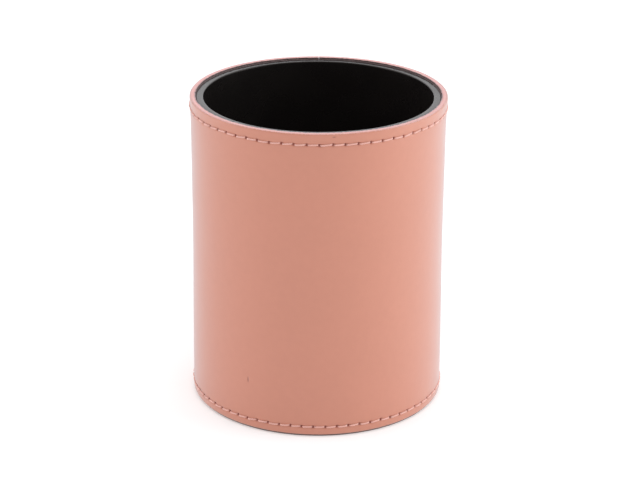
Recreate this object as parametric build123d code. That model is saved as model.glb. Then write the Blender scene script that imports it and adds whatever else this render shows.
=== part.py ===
"""Pen holder cup: a stitched leather sleeve glued round a moulded plastic cup.

Millimetres, +Z up, origin at the centre of the underside. The sleeve's butt joint is at the back, on +Y.
"""
from build123d import *
import os
from math import cos, degrees, radians, sin

# ---- driving sizes -------------------------------------------------------------------------------
HEIGHT = 100.0            # table to the top of the leather
PAD_THICKNESS = 0.5       # non-slip pad
FILM_THICKNESS = 0.1      # adhesive film above the pad
PAD_RADIUS = 39.7
CLEARANCE = 0.02          # between layers that are glued or sewn together

# plastic cup
CUP_DROP = 0.6            # lip below the leather's edge
GLUE_DROP = 1.0           # glue film stops this far from the cup's ends
PAD_FILM_INSET = 0.4
BORE_RADIUS_TOP = 36.2
BORE_RADIUS_FLOOR = 35.8
CUP_RADIUS = 38.2
FLOOR_THICKNESS = 2.0
FOOT_RECESS = 1.0
FOOT_RING_RADIUS = 34.0
FLOOR_FILLET = 2.5
LIP_FILLET = 0.35
FOOT_FILLET = 0.3

# layers of the sleeve
BACKING_INNER = 38.44
BACKING_OUTER = 38.92
BACKING_DROP = 0.3        # backing trimmed below the leather's edge
LEATHER_INNER = BACKING_OUTER + CLEARANCE
FOOT_RADIUS = 40.4        # leather outside, at its lower edge
BELLY_RADIUS = 40.35      # low on the body
WAIST_RADIUS = 40.05      # narrowest, half way up
SHOULDER_RADIUS = 40.15
TOP_ROW_RADIUS = 40.25
RIM_RADIUS = 40.55        # leather outside, at its upper edge
BELLY_HEIGHT = 20.0
SHOULDER_DROP = 11.0      # the rim's flare starts this far below the edge
EDGE_ROUND_OUTER = 0.4
EDGE_ROUND_INNER = 0.25
FLARE_ROUND = 30.0        # bend of the leather where a flare starts
BELLY_ROUND = 500.0
WAIST_ROUND = 1000.0
JOINT_GAP = 0.12          # butt joint at the back

# stitching, azimuths in degrees about +Z from +X
JOINT_AZIMUTH = 90.0
BACKING_JOINT_AZIMUTH = 104.0   # beside the leather's joint, so that light never shows through both
TOP_ROW_DROP = 3.4
BOTTOM_ROW_HEIGHT = 3.4
TOP_PITCH = 360 / 65
BOTTOM_PITCH = 360 / 69
TOP_HOLE_AZIMUTH = 270.75
BOTTOM_HOLE_AZIMUTH = 268.75
SEAM_MARGIN = 3.2         # end of each row from the joint, and seam rows from the joint
SEAM_STITCHES = 24
SEAM_END_GAP = 2.0        # end of a seam row from the rows it meets
HOLE_DIAMETER = 0.8
NEEDLE_DIAMETER = 0.5
BOBBIN_DIAMETER = 0.3
THREAD_LIFT = 0.06        # thread clear of the surface it lies on, at a hole
BOBBIN_RADIUS = 38.62     # centre line of the inner threads
GROOVE_RADIUS = 38.8      # floor of the channel pressed into the backing
GROOVE_WIDTH = 0.6
LOCK_RADIUS = 39.5        # where the two threads meet inside the leather
NEEDLE_LEG_OFFSET = 0.12
BOBBIN_LEG_OFFSET = 0.1
BEND_PER_DIAMETER = 0.6   # thread's bend into a hole, as a share of its diameter
CUTTER_EXTRA = 1.0        # cutting solids pass the faces they cut by this much

# ---- worked-out places ---------------------------------------------------------------------------
SEAT = PAD_THICKNESS + FILM_THICKNESS + CLEARANCE
LIP = HEIGHT - CUP_DROP
CUP_FLOOR = SEAT + FOOT_RECESS + FLOOR_THICKNESS
TOP_ROW = HEIGHT - TOP_ROW_DROP
SHOULDER = HEIGHT - SHOULDER_DROP
MIDDLE = HEIGHT / 2

# outside of the leather: (height, radius), upwards
LEATHER_OUTLINE = [
    (SEAT, FOOT_RADIUS),
    (BELLY_HEIGHT, BELLY_RADIUS),
    (MIDDLE, WAIST_RADIUS),
    (SHOULDER, SHOULDER_RADIUS),
    (TOP_ROW, TOP_ROW_RADIUS),
    (HEIGHT, RIM_RADIUS),
]


def leather_radius(z):
    """Outside radius of the leather at a height."""
    for (z0, r0), (z1, r1) in zip(LEATHER_OUTLINE, LEATHER_OUTLINE[1:]):
        if z <= z1:
            return r0 + (r1 - r0) * (z - z0) / (z1 - z0)
    return RIM_RADIUS


def at(radius, azimuth, z):
    """Point at a radius, azimuth and height."""
    return Vector(radius * cos(radians(azimuth)), radius * sin(radians(azimuth)), z)


def turned(points, radii):
    """Solid of revolution from a closed (radius, height) outline with a rounding at each corner."""
    with BuildPart() as part:
        with BuildSketch(Plane.XZ):
            with BuildLine():
                FilletPolyline(*points, radius=radii, close=True)
            make_face()
        revolve(axis=Axis.Z)
    return part.part


def ring(inner, outer, low, high):
    """Plain ring between two radii and two heights."""
    return Pos(0, 0, (low + high) / 2) * (Cylinder(outer, high - low) - Cylinder(inner, high - low))


# ---- where the needle went through ---------------------------------------------------------------
def row_azimuths(front_azimuth, pitch):
    """Hole azimuths of a row, from one side of the joint round the front to the other.

    The stitches are even, apart from the last at each end, which takes up what is left.
    """
    margin = degrees(SEAM_MARGIN / TOP_ROW_RADIUS)
    first = JOINT_AZIMUTH + margin
    last = JOINT_AZIMUTH + 360 - margin
    before = round((front_azimuth - first) / pitch) - 1
    after = round((last - front_azimuth) / pitch) - 1
    even = [front_azimuth + pitch * step for step in range(-before, after + 1)]
    return [first] + even + [last]


def row_holes(front_azimuth, pitch, z):
    """Holes of a row round the cup, as (azimuth, height)."""
    return [(azimuth, z) for azimuth in row_azimuths(front_azimuth, pitch)]


def seam_holes(side):
    """Holes of a row beside the joint, as (azimuth, height); side is -1 or +1."""
    azimuth = JOINT_AZIMUTH + side * degrees(SEAM_MARGIN / WAIST_RADIUS)
    low = BOTTOM_ROW_HEIGHT + SEAM_END_GAP
    high = TOP_ROW - SEAM_END_GAP
    step = (high - low) / SEAM_STITCHES
    return [(azimuth, low + step * index) for index in range(SEAM_STITCHES + 1)]


ROWS = {
    "top": row_holes(TOP_HOLE_AZIMUTH, TOP_PITCH, TOP_ROW),
    "bottom": row_holes(BOTTOM_HOLE_AZIMUTH, BOTTOM_PITCH, BOTTOM_ROW_HEIGHT),
    "left_seam": seam_holes(1),
    "right_seam": seam_holes(-1),
}


# ---- the pieces ----------------------------------------------------------------------------------
def make_inner_cup():
    """Moulded cup with a drafted bore, a rounded lip and a foot ring."""
    corners = [
        ((0, SEAT + FOOT_RECESS), 0),
        ((FOOT_RING_RADIUS, SEAT + FOOT_RECESS), FOOT_FILLET),
        ((FOOT_RING_RADIUS, SEAT), FOOT_FILLET),
        ((CUP_RADIUS, SEAT), FOOT_FILLET),
        ((CUP_RADIUS, LIP), LIP_FILLET),
        ((BORE_RADIUS_TOP, LIP), LIP_FILLET),
        ((BORE_RADIUS_FLOOR, CUP_FLOOR), FLOOR_FILLET),
        ((0, CUP_FLOOR), 0),
    ]
    return turned([point for point, _ in corners], [radius for _, radius in corners])


def make_adhesive_sleeve():
    """Film of glue between the cup and the backing."""
    return ring(CUP_RADIUS + CLEARANCE, BACKING_INNER - 2 * CLEARANCE, SEAT + GLUE_DROP, LIP - GLUE_DROP)


def joint_cutter(azimuth):
    """Thin upright slab that opens a butt joint."""
    depth = RIM_RADIUS - BACKING_INNER + 2 * CUTTER_EXTRA
    slab = Box(depth, JOINT_GAP, HEIGHT + 2 * CUTTER_EXTRA)
    return Rot(0, 0, azimuth) * Pos(BACKING_INNER + depth / 2 - CUTTER_EXTRA, 0, HEIGHT / 2) * slab


def hole_cutters(inner, outer):
    """One radial pin for each needle hole, between two radii."""
    cutters = []
    for holes in ROWS.values():
        for azimuth, z in holes:
            plane = Plane(origin=at((inner + outer) / 2, azimuth, z), z_dir=at(1, azimuth, 0))
            cutters.append(plane * Cylinder(HOLE_DIAMETER / 2, outer - inner))
    return cutters


def make_leather_wrap():
    """Leather panel round the cup, flared at both edges and open at the joint."""
    outline = [(radius, z) for z, radius in LEATHER_OUTLINE]
    points = [(LEATHER_INNER, SEAT)] + outline + [(LEATHER_INNER, HEIGHT)]
    lower = [EDGE_ROUND_INNER, EDGE_ROUND_OUTER, BELLY_ROUND, WAIST_ROUND]
    upper = [BELLY_ROUND, FLARE_ROUND, EDGE_ROUND_OUTER, EDGE_ROUND_INNER]
    leather = turned(points, lower + upper) - joint_cutter(JOINT_AZIMUTH)
    return leather - hole_cutters(LEATHER_INNER - CUTTER_EXTRA, RIM_RADIUS + CUTTER_EXTRA)


def make_backing_wrap():
    """Reinforcing sheet behind the leather, with channels for the inner threads."""
    sheet = ring(BACKING_INNER, BACKING_OUTER, SEAT, HEIGHT - BACKING_DROP)
    backing = sheet - joint_cutter(BACKING_JOINT_AZIMUTH)
    channels = []
    for z in (BOTTOM_ROW_HEIGHT, TOP_ROW):
        low = z - GROOVE_WIDTH / 2
        channels.append(ring(BACKING_INNER - CUTTER_EXTRA, GROOVE_RADIUS, low, low + GROOVE_WIDTH))
    for row in ("left_seam", "right_seam"):
        azimuth, low = ROWS[row][0]
        high = ROWS[row][-1][1]
        slab = Box(2 * CUTTER_EXTRA, GROOVE_WIDTH, high - low + GROOVE_WIDTH)
        channels.append(Rot(0, 0, azimuth) * Pos(GROOVE_RADIUS - CUTTER_EXTRA, 0, (low + high) / 2) * slab)
    holes = hole_cutters(BACKING_INNER - CUTTER_EXTRA, BACKING_OUTER + CUTTER_EXTRA)
    return backing - channels - holes


def make_stitch(start, end, diameter, leg_offset):
    """One stitch: out of a hole, along the face and into the next hole.

    start and end are pairs of points: the foot of the leg inside the hole, and its corner outside it.
    """
    along = (end[1] - start[1]).normalized() * leg_offset
    path_points = [start[0] + along, start[1] + along, end[1] - along, end[0] - along]
    path = FilletPolyline(*path_points, radius=diameter * BEND_PER_DIAMETER)
    section = Plane(origin=path_points[0], z_dir=path_points[1] - path_points[0]) * Circle(diameter / 2)
    return sweep(section, path=path)


def make_thread(holes, corner_radius, foot_radius, diameter, leg_offset):
    """A row's thread, its stitches joined inside the holes. corner_radius is a function of height."""
    legs = [(at(foot_radius, azimuth, z), at(corner_radius(z), azimuth, z)) for azimuth, z in holes]
    stitches = [make_stitch(a, b, diameter, leg_offset) for a, b in zip(legs, legs[1:])]
    return stitches[0].fuse(*stitches[1:])


def make_needle_thread(row):
    """Outer thread of a row, lying on the leather."""
    lift = NEEDLE_DIAMETER / 2 + THREAD_LIFT
    foot = LOCK_RADIUS + CLEARANCE
    return make_thread(
        ROWS[row], lambda z: leather_radius(z) + lift, foot, NEEDLE_DIAMETER, NEEDLE_LEG_OFFSET
    )


def make_bobbin_thread(row):
    """Inner thread of a row, lying in the backing's channel."""
    foot = LOCK_RADIUS - CLEARANCE
    return make_thread(ROWS[row], lambda z: BOBBIN_RADIUS, foot, BOBBIN_DIAMETER, BOBBIN_LEG_OFFSET)


def make_base_pad():
    """Non-slip disc that the cup stands on."""
    return Pos(0, 0, PAD_THICKNESS / 2) * Cylinder(PAD_RADIUS, PAD_THICKNESS)


def make_base_adhesive():
    """Adhesive film between the pad and the cup."""
    low = PAD_THICKNESS + CLEARANCE / 2
    return Pos(0, 0, low + FILM_THICKNESS / 2) * Cylinder(PAD_RADIUS - PAD_FILM_INSET, FILM_THICKNESS)


def main():
    """Write one STEP file for each piece."""
    os.makedirs("parts", exist_ok=True)
    pieces = {
        "inner_cup": make_inner_cup(),
        "adhesive_sleeve": make_adhesive_sleeve(),
        "backing_wrap": make_backing_wrap(),
        "leather_wrap": make_leather_wrap(),
        "base_adhesive": make_base_adhesive(),
        "base_pad": make_base_pad(),
    }
    for row in ROWS:
        pieces[row + "_needle_thread"] = make_needle_thread(row)
        pieces[row + "_bobbin_thread"] = make_bobbin_thread(row)
    for name, piece in pieces.items():
        export_step(piece, f"parts/{name}.step")


main()
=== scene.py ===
"""Looks of the pen holder cup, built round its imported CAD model.

Helpers work in millimetres and degrees, in the CAD's frame, and meshes are made in metres.
"""

import bpy
import numpy as np
from mathutils import Matrix, Vector


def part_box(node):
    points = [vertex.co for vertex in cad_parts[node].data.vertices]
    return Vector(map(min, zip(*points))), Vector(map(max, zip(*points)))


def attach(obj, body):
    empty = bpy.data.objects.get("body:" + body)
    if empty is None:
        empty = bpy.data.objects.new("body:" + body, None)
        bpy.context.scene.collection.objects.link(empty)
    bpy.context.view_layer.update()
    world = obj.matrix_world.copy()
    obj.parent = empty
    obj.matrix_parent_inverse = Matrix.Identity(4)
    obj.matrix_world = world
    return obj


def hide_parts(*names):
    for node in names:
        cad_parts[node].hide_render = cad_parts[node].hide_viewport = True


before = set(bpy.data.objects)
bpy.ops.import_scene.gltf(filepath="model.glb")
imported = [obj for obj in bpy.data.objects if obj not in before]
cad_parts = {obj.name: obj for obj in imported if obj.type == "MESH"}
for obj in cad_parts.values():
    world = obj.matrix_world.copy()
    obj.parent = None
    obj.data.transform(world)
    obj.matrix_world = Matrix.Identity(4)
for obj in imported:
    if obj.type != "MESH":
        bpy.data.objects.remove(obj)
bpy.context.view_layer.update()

MM = 0.001
FULL_TURN = 360.0

# ---- sizes of the object: read from the CAD where the frame holds them, otherwise close to it ------
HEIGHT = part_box("leather_wrap")[1].z / MM
SLEEVE_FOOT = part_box("leather_wrap")[0].z / MM
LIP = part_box("inner_cup")[1].z / MM
PAD_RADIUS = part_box("base_pad")[1].x / MM
PAD_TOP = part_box("base_pad")[1].z / MM
BACKING_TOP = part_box("backing_wrap")[1].z / MM
PAD_FOOT_ROUND = 0.16
PAD_TOP_ROUND = 0.12
PAD_WAVE = 0.05
LEATHER_INNER = 38.94
BACKING_INNER = 38.44
BACKING_OUTER = 38.92
CUP_RADIUS = 38.2
CUP_WAVE = 0.03
BEAD_RADIUS = 38.4        # thicker band under the cup's lip, which the CAD leaves out
BEAD_HEIGHT = 0.75
BEAD_FILLET = 0.18
BORE_TOP = 36.2
BORE_FLOOR = 35.8
LIP_FILLET = 0.3
FLOOR_FILLET = 2.5
FLOOR_THICKNESS = 2.0
FOOT_RING = 34.0
FOOT_RECESS = 1.0
FOOT_FILLET = 0.3
JOINT_AZIMUTH = 90.0
BACKING_JOINT_AZIMUTH = 104.0
JOINT_GAP = 0.08          # narrower than the CAD's
TOP_ROW = HEIGHT - 3.4
BOTTOM_ROW = 3.4
TOP_PITCH = 360 / 65
BOTTOM_PITCH = 360 / 69
TOP_HOLE_AZIMUTH = 270.75
BOTTOM_HOLE_AZIMUTH = 268.75
SEAM_MARGIN = 3.2
SEAM_STITCHES = 24
SEAM_END_GAP = 2.0
ROW_RADIUS = 40.25        # used to turn a distance along the leather into an angle
WAIST_RADIUS = 40.05

# ---- the leather panel ----------------------------------------------------------------------------
LEATHER_PROFILE = [       # (height, radius) of the outside before stitching
    (SLEEVE_FOOT, 40.46), (1.6, 40.46), (BOTTOM_ROW, 40.45), (7, 40.44), (12, 40.43), (20, 40.40),
    (30, 40.32), (50, 40.1), (72, 40.15), (84, 40.2), (90, 40.26), (93.5, 40.34), (TOP_ROW, 40.45),
    (98.6, 40.53), (HEIGHT, 40.58),
]
RIM_START = 84.0          # height from which the rim is a little out of round
RIM_REACH = 16.0
RIM_SHIFT = 0.06          # the rim sits this far towards +X
RIM_WAVE = 0.05
BODY_WAVE = 0.02
EDGE_ROUND = 0.5          # outer corner of the cut edges
BURR = 0.28               # inner corner of the top edge, leaning in over the backing
CREST_DROP = 0.01         # top edge below HEIGHT, before its roughness
CREST_FALL = 0.06         # drop of the top edge towards its inner corner
CREST_ROUGH = 0.06
JOINT_ROUND = 0.35        # outer corners of the butt joint
JOINT_ROUND_REACH = 0.16
JOINT_FADE = 4.0          # that rounding fades out over this height below the top edge

# ---- stitching ------------------------------------------------------------------------------------
SLIT_HALF_WIDTH = 0.43
SLIT_HALF_HEIGHT = 0.45
SLIT_LEAN = 12.0          # degrees from upright, top towards the next stitch
SLIT_DEPTH = 0.32
SLIT_OUTER = 1.3          # a slit ends at this many half sizes from its middle
SLIT_SOFTNESS = 0.6
DIMPLE_DEPTH = 0.07
DIMPLE_REACH = 0.9
FURROW_DEPTH = 0.01       # the line that the thread presses into the leather
FURROW_REACH = 0.33
PUFF_HEIGHT = 0.03        # the leather swells on both sides of a row
PUFF_AWAY = 0.95
PUFF_REACH = 0.55
ROW_NEAR = 3.0            # a row changes the leather up to this far above and below it
SEAM_NEAR = 4.0           # the same for an upright row, in degrees
THREAD_RADIUS = 0.26
THREAD_RIDE = 0.07        # centre of the thread above the leather
THREAD_DIVE = 1.15
THREAD_DIVE_REACH = 0.4
SUNK_BELOW = 0.1          # the thread gets painted shade from this depth, over SUNK_REACH
SUNK_REACH = 0.25
THREAD_LAY = 2.3          # length of one turn of the plies
THREAD_PLIES = 3
THREAD_SLANT = 0.11       # rise of each stitch from end to end, on either side of its middle
THREAD_SLANT_SPREAD = 0.5
THREAD_BOW = 0.05
THREAD_RINGS = 34
THREAD_SIDES = 18
SEWING_DRIFT = 0.07       # unevenness of the holes

# ---- small marks on the leather: (radius, azimuth, height) and how far each reaches -----------------
SCUFF_AT, SCUFF_REACH = (40.35, 237.9, 16.8), (0.3, 1.0)
NICK_AT, NICK_REACH = (40.5, 276.7, 99.1), (0.5, 0.2)


# ---- where the leather's mesh is finer ------------------------------------------------------------
COLUMNS_AT_HOLE = [-0.36, -0.18, 0, 0.18, 0.36]
COLUMNS_FROM_JOINT = [0.05, 0.12, 0.22, 0.4, 0.7, 1.1, 1.6, 2.1, 2.6, 2.85, 3.02, 3.2, 3.38, 3.55, 3.8, 4.3]
LEAST_COLUMN, MOST_COLUMN = 0.08, 0.7
HEIGHTS_FROM_ROW = [0.08, 0.17, 0.27, 0.38, 0.52, 0.75, 1.1, 1.6]
HEIGHTS_AT_SEAM_HOLE = [-0.56, -0.18, 0.18, 0.56]
HEIGHTS_LOW, HEIGHTS_HIGH = [5.9], [98.7, 99.15, 99.45]


# ---- helpers --------------------------------------------------------------------------------------
def smooth_noise(u, v, seed):
    """Even, smooth noise from -1 to 1, with features one unit across."""
    table = np.random.default_rng(seed).uniform(-1, 1, 4093)
    i, j = np.floor(u).astype(int), np.floor(v).astype(int)
    fu, fv = u - i, v - j
    fu, fv = fu * fu * (3 - 2 * fu), fv * fv * (3 - 2 * fv)

    def corner(a, b):
        return table[((i + a) * 157 + (j + b) * 719) % table.size]

    low = corner(0, 0) * (1 - fu) + corner(1, 0) * fu
    high = corner(0, 1) * (1 - fu) + corner(1, 1) * fu
    return low * (1 - fv) + high * fv


def cubic_through(x, xs, ys):
    """Smooth curve through points, by cubic Hermite spans."""
    xs, ys = np.asarray(xs, float), np.asarray(ys, float)
    slopes = np.gradient(ys, xs)
    k = np.clip(np.searchsorted(xs, x) - 1, 0, len(xs) - 2)
    span = xs[k + 1] - xs[k]
    t = np.clip((x - xs[k]) / span, 0, 1)
    start = (1 + 2 * t) * (1 - t) ** 2 * ys[k] + t * (1 - t) ** 2 * span * slopes[k]
    return start + t * t * (3 - 2 * t) * ys[k + 1] + t * t * (t - 1) * span * slopes[k + 1]


def round_points(radius, azimuth, z):
    """Points in metres from cylindrical millimetres."""
    angle = np.radians(azimuth)
    return np.stack([radius * np.cos(angle), radius * np.sin(angle), z + 0 * radius], axis=-1) * MM


def arc(centre, radius, start, end, steps):
    """Points of an arc in the (radius, height) plane, angles in degrees."""
    angles = np.radians(np.linspace(start, end, steps + 1))
    return [(centre[0] + radius * np.cos(a), centre[1] + radius * np.sin(a)) for a in angles]


def new_piece(name, points, faces, material, node):
    """Smooth shaded mesh piece that rides on the root body in place of a CAD node."""
    mesh = bpy.data.meshes.new(name)
    mesh.from_pydata([tuple(p) for p in points], [], faces)
    mesh.validate()
    mesh.shade_smooth()
    mesh.materials.append(material)
    piece = bpy.data.objects.new(name, mesh)
    bpy.context.scene.collection.objects.link(piece)
    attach(piece, "root")
    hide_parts(node)
    return piece


def add_mask(piece, name, values):
    """Value at each point of a piece, which its material reads by name."""
    mask = piece.data.attributes.new(name, "FLOAT", "POINT")
    mask.data.foreach_set("value", values.ravel())


def grid_faces(columns, rows, close_columns, close_rows):
    """Quads of a grid of columns by rows, point index = column * rows + row."""
    faces = []
    for c in range(columns if close_columns else columns - 1):
        a, b = c * rows, (c + 1) % columns * rows
        for r in range(rows if close_rows else rows - 1):
            s = (r + 1) % rows
            faces.append((a + r, b + r, b + s, a + s))
    return faces


def capped_faces(columns, rows):
    """Faces of a solid made of closed rings of points, one ring a column, with a face at each end."""
    first = tuple(range(rows))
    last = tuple(range(columns * rows - 1, (columns - 1) * rows - 1, -1))
    return grid_faces(columns, rows, False, True) + [first, last]


def turned_piece(name, outline, material, node, shift=None, columns=256):
    """Solid of revolution from an open outline that starts and ends on the axis, bottom first.

    shift(radius, azimuth, z) may return a small move of each point's radius and height.
    """
    azimuth = np.linspace(0, FULL_TURN, columns, endpoint=False)[:, None]
    inner = np.array(outline[1:-1])
    radius = inner[None, :, 0] + 0 * azimuth
    z = inner[None, :, 1] + 0 * azimuth
    if shift:
        dr, dz = shift(radius, azimuth + 0 * radius, z)
        radius, z = radius + dr, z + dz
    rows = inner.shape[0]
    points = list(round_points(radius, azimuth, z).reshape(-1, 3))
    faces = grid_faces(columns, rows, True, False)
    first, last = len(points), len(points) + 1
    points += [(0, 0, outline[0][1] * MM), (0, 0, outline[-1][1] * MM)]
    for c in range(columns):
        d = (c + 1) % columns
        faces.append((first, d * rows, c * rows))
        faces.append((last, c * rows + rows - 1, d * rows + rows - 1))
    return new_piece(name, points, faces, material, node)


# ---- where the needle went through ----------------------------------------------------------------
def row_azimuths(front_azimuth, pitch):
    """Hole azimuths of a row, even apart from the last stitch at each end."""
    margin = np.degrees(SEAM_MARGIN / ROW_RADIUS)
    first, last = JOINT_AZIMUTH + margin, JOINT_AZIMUTH + FULL_TURN - margin
    before = round((front_azimuth - first) / pitch) - 1
    after = round((last - front_azimuth) / pitch) - 1
    even = [front_azimuth + pitch * step for step in range(-before, after + 1)]
    return [first] + even + [last]


def seam_holes(side):
    """Holes of a row beside the joint, as (azimuth, height); side is -1 or +1."""
    azimuth = JOINT_AZIMUTH + side * np.degrees(SEAM_MARGIN / WAIST_RADIUS) + FULL_TURN * (side < 0)
    heights = np.linspace(BOTTOM_ROW + SEAM_END_GAP, TOP_ROW - SEAM_END_GAP, SEAM_STITCHES + 1)
    return [(azimuth, z) for z in heights]


ROWS = {
    "top": [(a, TOP_ROW) for a in row_azimuths(TOP_HOLE_AZIMUTH, TOP_PITCH)],
    "bottom": [(a, BOTTOM_ROW) for a in row_azimuths(BOTTOM_HOLE_AZIMUTH, BOTTOM_PITCH)],
    "left_seam": seam_holes(1),
    "right_seam": seam_holes(-1),
}


def scattered_holes(row):
    """The row's holes, as (azimuth, height), with the small unevenness of sewing."""
    holes = np.array(ROWS[row])
    drift = np.random.default_rng(len(row)).normal(0, SEWING_DRIFT, holes.shape)
    holes[:, 0] += np.degrees(drift[:, 0] / ROW_RADIUS)
    holes[:, 1] += drift[:, 1]
    return holes


HOLES = {row: scattered_holes(row) for row in ROWS}


# ---- shape of the leather -------------------------------------------------------------------------
def bare_radius(azimuth, z):
    """Outside radius of the leather before it is stitched."""
    heights, radii = zip(*LEATHER_PROFILE)
    radius = cubic_through(z, heights, radii)
    near_rim = np.clip((z - RIM_START) / RIM_REACH, 0, 1) ** 2
    radius = radius + RIM_SHIFT * near_rim * np.cos(np.radians(azimuth))
    radius = radius + RIM_WAVE * near_rim * smooth_noise(azimuth / 9, z / 9, 3)
    sway = smooth_noise(azimuth / 30, z / 26, 5) + 0.6 * smooth_noise(azimuth / 13, z / 14, 6)
    return radius + BODY_WAVE * sway


def row_relief(azimuth, z, row):
    """How deep a row of stitches presses the leather, and how far inside a slit each point is, which also
    sets the painted shade in the slit.
    """
    holes = HOLES[row]
    upright = row.endswith("seam")
    across_all = np.radians(azimuth[..., None] - holes[:, 0]) * ROW_RADIUS
    up_all = z[..., None] - holes[:, 1]
    nearest = np.argmin(across_all ** 2 + up_all ** 2, axis=-1)
    across = np.take_along_axis(across_all, nearest[..., None], -1)[..., 0]
    up = np.take_along_axis(up_all, nearest[..., None], -1)[..., 0]
    along, off = (up, -across) if upright else (across, up)
    lean = np.radians(SLIT_LEAN)
    u = along * np.cos(lean) - off * np.sin(lean)
    v = along * np.sin(lean) + off * np.cos(lean)
    reach = np.hypot(u / SLIT_HALF_WIDTH, v / SLIT_HALF_HEIGHT)
    slit_and_shade = np.clip((SLIT_OUTER - reach) / SLIT_SOFTNESS, 0, 1)
    slit_and_shade = slit_and_shade * slit_and_shade * (3 - 2 * slit_and_shade)
    depth = DIMPLE_DEPTH * np.exp(-(along ** 2 + off ** 2) / DIMPLE_REACH ** 2)
    if upright:
        inside = (z > holes[0, 1]) & (z < holes[-1, 1])
        line = holes[0, 0]
        away = np.radians(azimuth - line) * ROW_RADIUS
    else:
        inside = (azimuth > holes[0, 0]) & (azimuth < holes[-1, 0])
        away = z - np.interp(azimuth, holes[:, 0], holes[:, 1])
    depth = depth + FURROW_DEPTH * np.exp(-(away / FURROW_REACH) ** 2) * inside
    depth = depth - PUFF_HEIGHT * np.exp(-((np.abs(away) - PUFF_AWAY) / PUFF_REACH) ** 2) * inside
    return depth + SLIT_DEPTH * slit_and_shade, slit_and_shade


def leather_shape(azimuth, z):
    """Outside radius of the finished leather and the slit mask at each point, which also paints shade in
    the holes.
    """
    radius = bare_radius(azimuth, z)
    slit_and_shade = np.zeros_like(radius)
    for row in HOLES:
        holes = HOLES[row]
        if row.endswith("seam"):
            near = np.abs(azimuth - holes[0, 0]) < SEAM_NEAR
        else:
            near = np.abs(z - holes[0, 1]) < ROW_NEAR
        if near.any():
            depth, mask = row_relief(azimuth[near], z[near], row)
            radius[near] -= depth
            slit_and_shade[near] = np.maximum(slit_and_shade[near], mask)
    turned = np.minimum(azimuth - JOINT_AZIMUTH, JOINT_AZIMUTH + FULL_TURN - azimuth)
    from_joint = np.radians(turned) * ROW_RADIUS - JOINT_GAP / 2
    fade = np.clip((HEIGHT - EDGE_ROUND - z) / JOINT_FADE, 0, 1)
    return radius - JOINT_ROUND * np.exp(-from_joint / JOINT_ROUND_REACH) * fade, slit_and_shade


def sleeve_columns():
    """Azimuths of the leather's columns, finer at every hole and beside the joint."""
    near_hole = np.degrees(np.array(COLUMNS_AT_HOLE) / ROW_RADIUS)
    start = JOINT_AZIMUTH + np.degrees(JOINT_GAP / 2 / ROW_RADIUS)
    end = JOINT_AZIMUTH + FULL_TURN - np.degrees(JOINT_GAP / 2 / ROW_RADIUS)
    wanted = [start, end]
    for row in ("top", "bottom"):
        wanted += list((HOLES[row][:, :1] + near_hole).ravel())
    for step in COLUMNS_FROM_JOINT:
        wanted += [start + np.degrees(step / ROW_RADIUS), end - np.degrees(step / ROW_RADIUS)]
    wanted = sorted(wanted)
    least, most = np.degrees(LEAST_COLUMN / ROW_RADIUS), np.degrees(MOST_COLUMN / ROW_RADIUS)
    kept = [wanted[0]]
    for azimuth in wanted[1:]:
        gap = azimuth - kept[-1]
        if gap < least:
            continue
        steps = int(np.ceil(gap / most))
        kept += [kept[-1] + gap * (k + 1) / steps for k in range(steps)]
    kept[-1] = end
    return np.array(kept)


def sleeve_heights():
    """Heights of the leather's rows, finer at every hole, without the rounded edges."""
    near_row = np.array(HEIGHTS_FROM_ROW)
    low = np.concatenate([BOTTOM_ROW - near_row, [BOTTOM_ROW], BOTTOM_ROW + near_row, HEIGHTS_LOW])
    high = np.concatenate([TOP_ROW - near_row, [TOP_ROW], TOP_ROW + near_row, HEIGHTS_HIGH])
    middle = (HOLES["left_seam"][:, 1:] + HEIGHTS_AT_SEAM_HOLE).ravel()
    middle = middle[(middle > low.max() + 0.1) & (middle < high.min() - 0.1)]
    return np.unique(np.concatenate([low, middle, high]))


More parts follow.
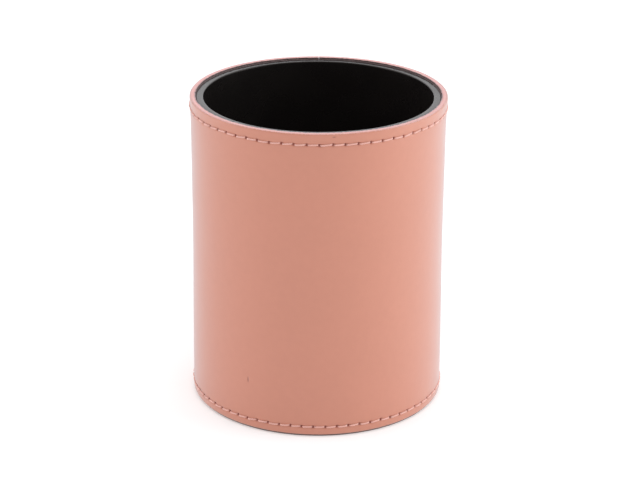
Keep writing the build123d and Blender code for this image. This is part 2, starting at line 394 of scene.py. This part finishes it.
def make_leather(material, node):
    """The leather panel: closed sheet with rounded, fibrous cut edges and pressed stitch rows."""
    edge = EDGE_ROUND
    quarter = np.radians(np.linspace(0, 90, 6))
    heights = sleeve_heights()
    low_round = [(SLEEVE_FOOT + edge - edge * np.sin(a), edge - edge * np.cos(a)) for a in quarter[::-1]]
    top_round = [(HEIGHT - edge + edge * np.sin(a), edge - edge * np.cos(a)) for a in quarter]
    heights = heights[(heights > low_round[-1][0] + 0.05) & (heights < top_round[0][0] - 0.05)]
    outer = np.array(low_round + [(z, 0) for z in heights] + top_round)
    azimuth = sleeve_columns()
    grid_a, grid_z = np.meshgrid(azimuth, outer[:, 0], indexing="ij")
    radius, slit_and_shade = leather_shape(grid_a, grid_z)
    radius -= outer[:, 1]

    across = np.linspace(0, 1, 9)[1:]
    around = grid_a[:, :1]
    burr = BURR + 0.08 * smooth_noise(around * 1.3, 0 * around, 13)
    burr += 0.10 * smooth_noise(around / 2.2, 0 * around, 15)
    burr += 0.06 * smooth_noise(around * 4.1, 0 * around, 14)
    crest = radius[:, -1:] + (LEATHER_INNER - burr - radius[:, -1:]) * across
    rough = smooth_noise(around * 3.1, across * 4 + 0 * crest, 11)
    rough += 0.7 * smooth_noise(around * 7.3, across * 8 + 0 * crest, 12)
    crest_z = HEIGHT - CREST_DROP - CREST_FALL * across ** 3 + CREST_ROUGH * rough
    inside_z = np.array([HEIGHT - 0.27, 80.0, 60.0, 40.0, 20.0, SLEEVE_FOOT + 0.3])
    inside = LEATHER_INNER + 0 * (around + inside_z)
    foot_z = np.full(3, SLEEVE_FOOT)
    foot = LEATHER_INNER + (radius[:, :1] - LEATHER_INNER) * np.array([0.15, 0.45, 0.75])

    all_radius = np.concatenate([radius, crest, inside, foot], axis=1)
    all_z = np.concatenate([grid_z, crest_z, inside_z + 0 * inside, foot_z + 0 * foot], axis=1)
    all_slit_and_shade = np.concatenate([slit_and_shade, 0 * crest, 0 * inside, 0 * foot], axis=1)
    rounding = np.clip((grid_z - top_round[0][0]) / edge, 0, 1) * 0.3
    all_crest = np.concatenate([rounding, 0.3 + 0.7 * across + 0 * crest, 1 + 0 * inside, 0 * foot], axis=1)
    columns, rows = all_radius.shape
    points = round_points(all_radius, azimuth[:, None], all_z).reshape(-1, 3)
    faces = capped_faces(columns, rows)
    piece = new_piece("leather_sleeve", points, faces, material, node)
    # the slit mask also carries the painted shade in the holes
    add_mask(piece, "slit_and_shade", all_slit_and_shade)
    add_mask(piece, "crest", all_crest)
    return piece


# ---- threads --------------------------------------------------------------------------------------
def ply_outline(steps):
    """Cross-section of a thread of round plies, as radii round a turn that starts on a ply."""
    angle = np.linspace(0, 2 * np.pi, steps, endpoint=False)
    spacing = 2 * np.pi / THREAD_PLIES
    off = (angle + spacing / 2) % spacing - spacing / 2
    ply, out = 0.56 * THREAD_RADIUS, 0.46 * THREAD_RADIUS
    return angle, out * np.cos(off) + np.sqrt(ply ** 2 - (out * np.sin(off)) ** 2)


def stitch_mesh(start, end, rng, upright):
    """Points and faces of one stitch between two holes, diving into both."""
    rings, around = THREAD_RINGS, THREAD_SIDES
    share = 0.5 - 0.5 * np.cos(np.pi * np.linspace(0, 1, rings))
    azimuth = start[0] + (end[0] - start[0]) * share
    z = start[1] + (end[1] - start[1]) * share
    length = np.hypot(np.radians(end[0] - start[0]) * ROW_RADIUS, end[1] - start[1])
    slant = THREAD_SLANT * (1 + THREAD_SLANT_SPREAD * rng.normal())
    bow = THREAD_BOW * rng.normal()
    lean = slant * (2 * share - 1) + bow * np.sin(np.pi * share)
    if upright:
        azimuth = azimuth - np.degrees(lean / ROW_RADIUS)
    else:
        z = z + lean
    gap = np.minimum(share, 1 - share) * length
    rise = THREAD_RIDE + 0.03 * rng.normal() + 0.05 * np.sin(np.pi * share)
    height = rise - THREAD_DIVE * np.exp(-(gap / THREAD_DIVE_REACH) ** 2.5)
    centre = round_points(bare_radius(azimuth, z) + height, azimuth, z) / MM
    tangent = np.gradient(centre, axis=0)
    tangent /= np.linalg.norm(tangent, axis=1, keepdims=True)
    outward = centre[rings // 2] * [1, 1, 0]
    outward /= np.linalg.norm(outward)
    along = centre[-1] - centre[0]
    side = np.cross(along, outward)
    side /= np.linalg.norm(side)
    normal = np.cross(side, tangent)
    travelled = np.concatenate([[0], np.cumsum(np.linalg.norm(np.diff(centre, axis=0), axis=1))])
    turn = 2 * np.pi * (travelled / THREAD_LAY + rng.uniform())
    angle, reach = ply_outline(around)
    swirl = angle[None, :] + turn[:, None]
    ring = np.cos(swirl)[..., None] * normal[:, None, :] + np.sin(swirl)[..., None] * side
    points = (centre[:, None, :] + reach[None, :, None] * ring).reshape(-1, 3) * MM
    faces = capped_faces(rings, around)
    # painted shade on the thread where it dives below the leather into a hole
    sunk_shade = np.clip((-SUNK_BELOW - height) / SUNK_REACH, 0, 1)
    return points, faces, np.repeat(sunk_shade, around)


def make_thread(row, material):
    """Outer thread of a row, stitch by stitch."""
    rng = np.random.default_rng(sum(ord(letter) for letter in row))
    holes = HOLES[row]
    points, faces, sunk_shade = [], [], []
    for start, end in zip(holes, holes[1:]):
        more, more_faces, depths = stitch_mesh(start, end, rng, row.endswith("seam"))
        sunk_shade.append(depths)
        base = sum(len(p) for p in points)
        points.append(more)
        faces += [tuple(base + i for i in face) for face in more_faces]
    node = row + "_needle_thread"
    piece = new_piece(row + "_thread", np.concatenate(points), faces, material, node)
    add_mask(piece, "sunk_shade", np.concatenate(sunk_shade))


# ---- cup, backing and pad -------------------------------------------------------------------------
def make_inner_cup(material):
    """Moulded cup with a drafted bore, rounded lip, floor fillet and foot ring."""
    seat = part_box("inner_cup")[0].z / MM
    recess, floor = seat + FOOT_RECESS, seat + FOOT_RECESS + FLOOR_THICKNESS
    foot, lip, corner, fillet = FOOT_FILLET, LIP_FILLET, BEAD_FILLET, FLOOR_FILLET
    outline = [(0, recess), (10, recess), (FOOT_RING - 2 * foot, recess)]
    outline += arc((FOOT_RING - foot, recess - foot), foot, 90, 0, 4)
    outline += arc((FOOT_RING + foot, seat + foot), foot, 180, 270, 4)
    outline += arc((CUP_RADIUS - foot, seat + foot), foot, 270, 360, 4)
    outline += [(CUP_RADIUS, seat + 1 + (LIP - 2 - seat) * k / 8) for k in range(9)]
    outline += [(BEAD_RADIUS, LIP - BEAD_HEIGHT)]
    outline += arc((BEAD_RADIUS - corner, LIP - corner), corner, 0, 90, 4)
    outline += arc((BORE_TOP + lip, LIP - lip), lip, 90, 180, 6)
    draft = BORE_TOP - BORE_FLOOR
    outline += [(BORE_TOP - draft * k / 10, LIP - 1 - (LIP - floor - 5) * k / 10) for k in range(11)]
    outline += arc((BORE_FLOOR - fillet, floor + fillet), fillet, 0, -90, 10)
    outline += [(25, floor), (12, floor), (0, floor)]

    def shift(radius, azimuth, z):
        wave = smooth_noise(azimuth / 24, z / 40, 21)
        return CUP_WAVE * wave, CUP_WAVE * smooth_noise(azimuth / 20, 0 * z, 22) * (z > LIP - 1)

    return turned_piece("plastic_cup", outline, material, "inner_cup", shift, 320)


def make_backing(material):
    """Reinforcing sheet behind the leather, its top edge cut a little unevenly."""
    heights = np.array([SLEEVE_FOOT, 1.0, 30.0, 60.0, 90.0, 98.0, 99.0, BACKING_TOP - 0.15])
    gap = np.degrees(JOINT_GAP / 2 / BACKING_OUTER)
    start, end = BACKING_JOINT_AZIMUTH + gap, BACKING_JOINT_AZIMUTH + FULL_TURN - gap
    azimuth = np.linspace(start, end, 720)[:, None]
    edge = [BACKING_OUTER - 0.06, (BACKING_OUTER + BACKING_INNER) / 2, BACKING_INNER + 0.06]
    radius = np.concatenate([0 * heights + BACKING_OUTER, edge, 0 * heights + BACKING_INNER])
    z = np.concatenate([heights, [BACKING_TOP] * 3, heights[::-1]])
    z = z[None, :] + 0 * azimuth
    ragged = 0.10 * smooth_noise(azimuth * 1.7, 0 * azimuth, 31)
    ragged += 0.07 * smooth_noise(azimuth * 5, 0 * azimuth, 32)
    z = z + np.clip(z - 98.5, 0, 1) * (ragged - 0.1)
    radius = radius[None, :] + 0 * azimuth
    points = round_points(radius, azimuth, z).reshape(-1, 3)
    columns, rows = radius.shape
    faces = capped_faces(columns, rows)
    return new_piece("backing_sheet", points, faces, material, "backing_wrap")


def make_pad(material):
    """Thin non-slip pad with a soft cut edge."""
    outline = [(0, 0.0), (20, 0.0), (36, 0.0), (38.5, 0.0)]
    outline += arc((PAD_RADIUS - PAD_FOOT_ROUND, PAD_FOOT_ROUND), PAD_FOOT_ROUND, 270, 360, 4)
    outline += arc((PAD_RADIUS - PAD_TOP_ROUND, PAD_TOP - PAD_TOP_ROUND), PAD_TOP_ROUND, 0, 90, 3)
    outline += [(38, PAD_TOP), (20, PAD_TOP), (0, PAD_TOP)]

    def shift(radius, azimuth, z):
        uneven = PAD_WAVE * smooth_noise(azimuth / 2.5, 0 * z, 41) * (radius > 38)
        return uneven, 0 * z

    return turned_piece("grip_pad", outline, material, "base_pad", shift)


# ---- materials ------------------------------------------------------------------------------------
LEATHER_TONES = [(0.3, (0.59, 0.227, 0.149)), (0.7, (0.605, 0.234, 0.155))]
CUT_EDGE_TONES = [
    (0.3, (0.82, 0.39, 0.35)), (0.75, (0.78, 0.36, 0.32)),
    (0.9, (0.44, 0.21, 0.19)), (1.0, (0.13, 0.07, 0.06)),
]
CUT_EDGE_ROUGHNESS = 0.8
MARK_TONE = (0.40, 0.13, 0.09)
# painted shade: the dark brown-red inside the stitch holes and on the thread ends that go into them
PAINTED_HOLE_SHADE = (0.33, 0.07, 0.04)
THREAD_TONES = [(0.3, (0.81, 0.44, 0.37)), (0.7, (0.87, 0.49, 0.415))]
PLASTIC_TONES = [(0.3, (0.0088, 0.0074, 0.0070)), (0.7, (0.0105, 0.0086, 0.0080))]
BACKING_TONES = [(0.3, (0.07, 0.045, 0.043)), (0.7, (0.21, 0.145, 0.145))]
PAD_TONES = [(0.3, (0.15, 0.105, 0.095)), (0.7, (0.20, 0.145, 0.130))]
GLUE_TONES = [(0.3, (0.30, 0.22, 0.12)), (0.7, (0.50, 0.42, 0.28))]


def new_material(name):
    """Material with its node tree, its shader and a short way to add nodes."""
    material = bpy.data.materials.new(name)
    material.use_nodes = True
    tree = material.node_tree
    shader = tree.nodes["Principled BSDF"]

    def add(kind, **inputs):
        node = tree.nodes.new("ShaderNode" + kind)
        for key, value in inputs.items():
            if hasattr(node, key):
                setattr(node, key, value)
            else:
                node.inputs[key.replace("_", " ")].default_value = value
        return node

    return material, tree.links.new, shader, add


def noise(add, link, place, scale, detail=3.0, roughness=0.5):
    """Noise node on the object's own coordinates; scale is features per metre."""
    node = add("TexNoise", Scale=scale, Detail=detail, Roughness=roughness)
    link(place.outputs["Object"], node.inputs["Vector"])
    return node


def ramp(add, link, source, stops):
    """Colour ramp from a value; stops are (position, colour or grey)."""
    node = add("ValToRGB")
    elements = node.color_ramp.elements
    while len(elements) < len(stops):
        elements.new(0.5)
    for element, (position, colour) in zip(elements, stops):
        element.position = position
        element.color = (*colour, 1) if hasattr(colour, "__len__") else (colour, colour, colour, 1)
    link(source, node.inputs[0])
    return node


def mixed(add, link, factor, a, b, blend="MIX"):
    """Mix of two colours; each is an output or a constant."""
    node = add("Mix", data_type="RGBA", blend_type=blend)
    for value, index in ((factor, 0), (a, 6), (b, 7)):
        if isinstance(value, bpy.types.NodeSocket):
            link(value, node.inputs[index])
        else:
            node.inputs[index].default_value = value if index == 0 else (*value, 1)
    return node.outputs[2]


def sheen_outside(add, link, shader, mask, weight):
    """Sheen of the given weight that fades out where the mask is 1."""
    fade = add("MapRange")
    fade.inputs["To Min"].default_value = weight
    fade.inputs["To Max"].default_value = 0.0
    link(mask, fade.inputs["Value"])
    link(fade.outputs[0], shader.inputs["Sheen Weight"])


def bumped(add, link, shader, layers):
    """Bump nodes in a chain; layers are (height output, depth in metres, strength)."""
    last = None
    for height, depth, strength in layers:
        node = add("Bump", Strength=strength, Distance=depth)
        link(height, node.inputs["Height"])
        if last:
            link(last.outputs["Normal"], node.inputs["Normal"])
        last = node
    link(last.outputs["Normal"], shader.inputs["Normal"])


def spot(add, link, place, centre, reach):
    """Soft mask of a small mark; centre and reach in millimetres, reach as (sideways, upright)."""
    apart = add("VectorMath", operation="SUBTRACT")
    link(place.outputs["Object"], apart.inputs[0])
    apart.inputs[1].default_value = round_points(*centre)
    scaled = add("VectorMath", operation="MULTIPLY")
    link(apart.outputs[0], scaled.inputs[0])
    scaled.inputs[1].default_value = (1 / (reach[0] * MM), 1 / (reach[0] * MM), 1 / (reach[1] * MM))
    length = add("VectorMath", operation="LENGTH")
    link(scaled.outputs[0], length.inputs[0])
    fade = add("MapRange")
    fade.inputs["From Min"].default_value = 1.3
    fade.inputs["From Max"].default_value = 0.4
    link(length.outputs["Value"], fade.inputs["Value"])
    return fade.outputs[0]


def leather_material():
    """Smooth satin leather: fine grain, faint mottling, pale fibrous cut edge, painted shade in the stitch
    slits.
    """
    material, link, shader, add = new_material("salmon_leather")
    place = add("TexCoord")
    cloud = noise(add, link, place, 55, 4)
    patch = noise(add, link, place, 420, 3)
    tone = ramp(add, link, cloud.outputs["Fac"], LEATHER_TONES)
    fleck = ramp(add, link, patch.outputs["Fac"], [(0.3, 0.485), (0.7, 0.515)])
    colour = mixed(add, link, 0.5, tone.outputs[0], fleck.outputs[0], "OVERLAY")

    fibre = noise(add, link, place, 2600, 3, 0.7)
    crest = add("Attribute", attribute_name="crest")
    torn = add("Math", operation="MULTIPLY_ADD")
    link(fibre.outputs["Fac"], torn.inputs[0])
    torn.inputs[1].default_value = 0.5
    torn.inputs[2].default_value = -0.25
    ragged = add("Math", operation="ADD", use_clamp=True)
    link(crest.outputs["Fac"], ragged.inputs[0])
    link(torn.outputs[0], ragged.inputs[1])
    cut = ramp(add, link, ragged.outputs[0], [(0.2, 0), (0.34, 1)])
    edge_colour = ramp(add, link, ragged.outputs[0], CUT_EDGE_TONES)
    colour = mixed(add, link, cut.outputs[0], colour, edge_colour.outputs[0])

    scuff = spot(add, link, place, SCUFF_AT, SCUFF_REACH)
    nick = spot(add, link, place, NICK_AT, NICK_REACH)
    marks = add("Math", operation="MAXIMUM")
    link(scuff, marks.inputs[0])
    link(nick, marks.inputs[1])
    colour = mixed(add, link, marks.outputs[0], colour, MARK_TONE)
    # painted shade in the stitch slits
    slit_and_shade = add("Attribute", attribute_name="slit_and_shade")
    colour = mixed(add, link, slit_and_shade.outputs["Fac"], colour, PAINTED_HOLE_SHADE)
    link(colour, shader.inputs["Base Color"])

    pores = add("TexVoronoi", Scale=1900.0, feature="SMOOTH_F1")
    link(place.outputs["Object"], pores.inputs["Vector"])
    rough = ramp(add, link, cloud.outputs["Fac"], [(0.3, 0.40), (0.7, 0.47)])
    cut_rough = mixed(add, link, cut.outputs[0], rough.outputs[0], (CUT_EDGE_ROUGHNESS,) * 3)
    link(cut_rough, shader.inputs["Roughness"])
    fuzz = add("Math", operation="MULTIPLY")
    link(fibre.outputs["Fac"], fuzz.inputs[0])
    link(cut.outputs[0], fuzz.inputs[1])
    bumped(add, link, shader, [
        (cloud.outputs["Fac"], 0.0006, 0.03),
        (patch.outputs["Fac"], 0.00006, 0.12),
        (pores.outputs["Distance"], 0.00004, 0.25),
        (fuzz.outputs[0], 0.00025, 0.8),
        (marks.outputs[0], -0.00012, 1.0),
    ])
    shader.inputs["Specular IOR Level"].default_value = 0.7
    sheen_outside(add, link, shader, slit_and_shade.outputs["Fac"], 0.6)
    shader.inputs["Sheen Roughness"].default_value = 0.4
    shader.inputs["Sheen Tint"].default_value = (0.68, 0.90, 1.0, 1)
    return material


def thread_material():
    """Twisted polyester thread, a little lighter than the leather, with painted shade where it goes into a
    hole.
    """
    material, link, shader, add = new_material("salmon_thread")
    place = add("TexCoord")
    fibre = noise(add, link, place, 6000, 2, 0.6)
    cloud = noise(add, link, place, 500, 2)
    tone = ramp(add, link, cloud.outputs["Fac"], THREAD_TONES)
    fleck = ramp(add, link, fibre.outputs["Fac"], [(0.3, 0.42), (0.7, 0.58)])
    colour = mixed(add, link, 0.6, tone.outputs[0], fleck.outputs[0], "OVERLAY")
    # painted shade where the thread goes into a hole
    sunk_shade = add("Attribute", attribute_name="sunk_shade")
    link(mixed(add, link, sunk_shade.outputs["Fac"], colour, PAINTED_HOLE_SHADE), shader.inputs["Base Color"])
    shader.inputs["Roughness"].default_value = 0.42
    sheen_outside(add, link, shader, sunk_shade.outputs["Fac"], 0.9)
    shader.inputs["Sheen Roughness"].default_value = 0.35
    bumped(add, link, shader, [(fibre.outputs["Fac"], 0.00004, 0.6)])
    return material


def plastic_material():
    """Black moulded plastic with a fine satin texture."""
    material, link, shader, add = new_material("black_plastic")
    place = add("TexCoord")
    texture = noise(add, link, place, 3200, 2)
    cloud = noise(add, link, place, 90, 3)
    tone = ramp(add, link, cloud.outputs["Fac"], PLASTIC_TONES)
    link(tone.outputs[0], shader.inputs["Base Color"])
    rough = ramp(add, link, cloud.outputs["Fac"], [(0.3, 0.24), (0.7, 0.30)])
    link(rough.outputs[0], shader.inputs["Roughness"])
    bumped(add, link, shader, [(texture.outputs["Fac"], 0.00002, 0.35)])
    shader.inputs["Specular IOR Level"].default_value = 0.35
    shader.inputs["Specular Tint"].default_value = (1.0, 0.86, 0.82, 1)
    return material


def backing_material():
    """Dark fibre board."""
    material, link, shader, add = new_material("dark_backing")
    place = add("TexCoord")
    fibre = noise(add, link, place, 2400, 4, 0.7)
    tone = ramp(add, link, fibre.outputs["Fac"], BACKING_TONES)
    link(tone.outputs[0], shader.inputs["Base Color"])
    shader.inputs["Roughness"].default_value = 0.85
    bumped(add, link, shader, [(fibre.outputs["Fac"], 0.00015, 0.8)])
    return material


def pad_material():
    """Grey-brown foam rubber with a fine closed-cell surface."""
    material, link, shader, add = new_material("grey_foam")
    place = add("TexCoord")
    cells = add("TexVoronoi", Scale=1500.0)
    link(place.outputs["Object"], cells.inputs["Vector"])
    cloud = noise(add, link, place, 120, 3)
    tone = ramp(add, link, cloud.outputs["Fac"], PAD_TONES)
    link(tone.outputs[0], shader.inputs["Base Color"])
    shader.inputs["Roughness"].default_value = 0.8
    bumped(add, link, shader, [(cells.outputs["Distance"], 0.0002, 0.6)])
    return material


def glue_material():
    """Dried contact adhesive: amber, uneven, slightly shiny."""
    material, link, shader, add = new_material("dried_adhesive")
    place = add("TexCoord")
    smear = noise(add, link, place, 160, 4)
    tone = ramp(add, link, smear.outputs["Fac"], GLUE_TONES)
    link(tone.outputs[0], shader.inputs["Base Color"])
    shader.inputs["Roughness"].default_value = 0.45
    bumped(add, link, shader, [(smear.outputs["Fac"], 0.0002, 0.5)])
    return material


# ---- studio ---------------------------------------------------------------------------------------
FRONT_GLOW, BACK_GLOW = 0.22, 1.58    # brightness of the surroundings, behind the camera and ahead of it
FLOOR_GAP = 0.02          # floor below the pad, so that their faces don't coincide
FLOOR_HALF = 3.0          # metres
CAMERA_PITCH, CAMERA_ROLL = 21.55, 0.39
CAMERA_DISTANCE = 0.6954
CAMERA_TARGET = (0.00076, 0.0, 0.05039)
CAMERA_SENSOR, CAMERA_LENS = 36, 121.3
LIGHTS = [                # name, place, size, power, colour
    ("left_softbox", (-0.95, -0.1, 0.4), 0.7, 1.9, (1, 1, 1)),
    ("right_softbox", (0.95, -0.1, 0.4), 0.7, 4.2, (0.92, 1.0, 1.0)),
    ("overhead_softbox", (0.15, -0.7, 1.2), 0.9, 4.2, (1, 1, 1)),
]


def make_camera():
    """Camera at the height and distance of a desk-top product view, looking down at the cup."""
    pitch, roll = np.radians(CAMERA_PITCH), np.radians(CAMERA_ROLL)
    forward = Vector((0, np.cos(pitch), -np.sin(pitch)))
    level, up = Vector((1, 0, 0)), Vector((0, np.sin(pitch), np.cos(pitch)))
    right = np.cos(roll) * level + np.sin(roll) * up
    top = -np.sin(roll) * level + np.cos(roll) * up
    place = Vector(CAMERA_TARGET) - CAMERA_DISTANCE * forward
    data = bpy.data.cameras.new("camera")
    data.sensor_width = CAMERA_SENSOR
    data.lens = CAMERA_LENS
    data.clip_start = 0.01
    camera = bpy.data.objects.new("camera", data)
    columns = Matrix((right, top, -forward)).transposed().to_4x4()
    camera.matrix_world = Matrix.Translation(place) @ columns
    bpy.context.scene.collection.objects.link(camera)
    bpy.context.scene.camera = camera


def area_light(name, place, size, power, colour):
    """Square soft light that points at the middle of the cup."""
    data = bpy.data.lights.new(name, "AREA")
    data.size = size
    data.energy = power
    data.color = colour
    lamp = bpy.data.objects.new(name, data)
    lamp.location = place
    aim = Vector((0, 0, HEIGHT * MM / 2)) - Vector(place)
    lamp.rotation_euler = aim.to_track_quat("-Z", "Y").to_euler()
    bpy.context.scene.collection.objects.link(lamp)


def make_studio():
    """Pale floor, bright surroundings and soft lights."""
    scene = bpy.context.scene
    scene.view_settings.view_transform = "Standard"
    world = bpy.data.worlds.new("surround")
    world.use_nodes = True
    tree = world.node_tree
    place, split = tree.nodes.new("ShaderNodeTexCoord"), tree.nodes.new("ShaderNodeSeparateXYZ")
    fade = tree.nodes.new("ShaderNodeMapRange")
    fade.inputs["From Min"].default_value = -1.0
    fade.inputs["To Min"].default_value = FRONT_GLOW
    fade.inputs["To Max"].default_value = BACK_GLOW
    tree.links.new(place.outputs["Generated"], split.inputs[0])
    tree.links.new(split.outputs["Y"], fade.inputs["Value"])
    tree.links.new(fade.outputs[0], tree.nodes["Background"].inputs["Strength"])
    tree.nodes["Background"].inputs["Color"].default_value = (0.97, 0.98, 1.0, 1)
    scene.world = world
    half, z = FLOOR_HALF, -FLOOR_GAP * MM
    corners = [(-half, -half, z), (half, -half, z), (half, half, z), (-half, half, z)]
    mesh = bpy.data.meshes.new("studio_floor")
    mesh.from_pydata(corners, [], [(0, 1, 2, 3)])
    floor = bpy.data.objects.new("studio_floor", mesh)
    material, _, shader, _ = new_material("pale_floor")
    shader.inputs["Base Color"].default_value = (0.78, 0.78, 0.78, 1)
    shader.inputs["Roughness"].default_value = 0.9
    shader.inputs["Specular IOR Level"].default_value = 0.1
    shader.inputs["Emission Color"].default_value = (1, 1, 1, 1)
    shader.inputs["Emission Strength"].default_value = 0.28
    mesh.materials.append(material)
    scene.collection.objects.link(floor)
    for light in LIGHTS:
        area_light(*light)


# ---- the scene ------------------------------------------------------------------------------------
make_camera()
make_studio()

LEATHER = leather_material()
THREAD = thread_material()
GLUE = glue_material()

sleeve = make_leather(LEATHER, "leather_wrap")
for name in ROWS:
    make_thread(name, THREAD)
make_inner_cup(plastic_material())
make_backing(backing_material())
make_pad(pad_material())

for name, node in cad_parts.items():
    if name.endswith("bobbin_thread") or name.startswith(("adhesive", "base_adhesive")):
        node.data.materials.clear()
        node.data.materials.append(THREAD if name.endswith("thread") else GLUE)
